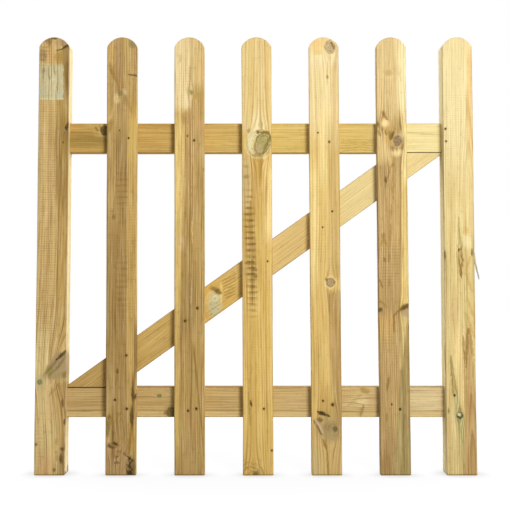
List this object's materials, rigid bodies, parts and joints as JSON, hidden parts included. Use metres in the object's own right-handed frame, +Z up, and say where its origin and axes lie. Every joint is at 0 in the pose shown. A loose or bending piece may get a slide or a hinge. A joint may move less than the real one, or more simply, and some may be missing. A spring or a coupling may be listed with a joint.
{
  "type": "palisade gate leaf",
  "caption": "Braced timber garden gate leaf: round-topped pales on two rails between mortised stiles, with a diagonal brace rising from the hinge side.",
  "frame": {"origin": "on the flat outer side of the hinge stile, at the middle of its thickness and of the leaf's height", "axes": "+X along the leaf from the hinge stile to the latch stile, +Y from the pales to the back of the frame, so that the front faces -Y, and +Z up"},
  "size_m": [0.9, 0.045, 0.9001],
  "materials": {
    "hinge_stile_timber": "matte",
    "latch_stile_timber": "matte",
    "rail_timber": "matte",
    "brace_timber": "matte",
    "brown_pale_timber": "matte",
    "yellow_pale_timber": "matte"
  },
  "bodies": {
    "root": {"hinge_stile": "hinge_stile_timber", "latch_stile": "latch_stile_timber", "top_rail": "rail_timber", "bottom_rail": "rail_timber", "brace": "brace_timber", "pale_1": "brown_pale_timber", "pale_2": "brown_pale_timber", "pale_3": "yellow_pale_timber", "pale_4": "yellow_pale_timber", "pale_5": "brown_pale_timber"}
  },
  "joints": []
}
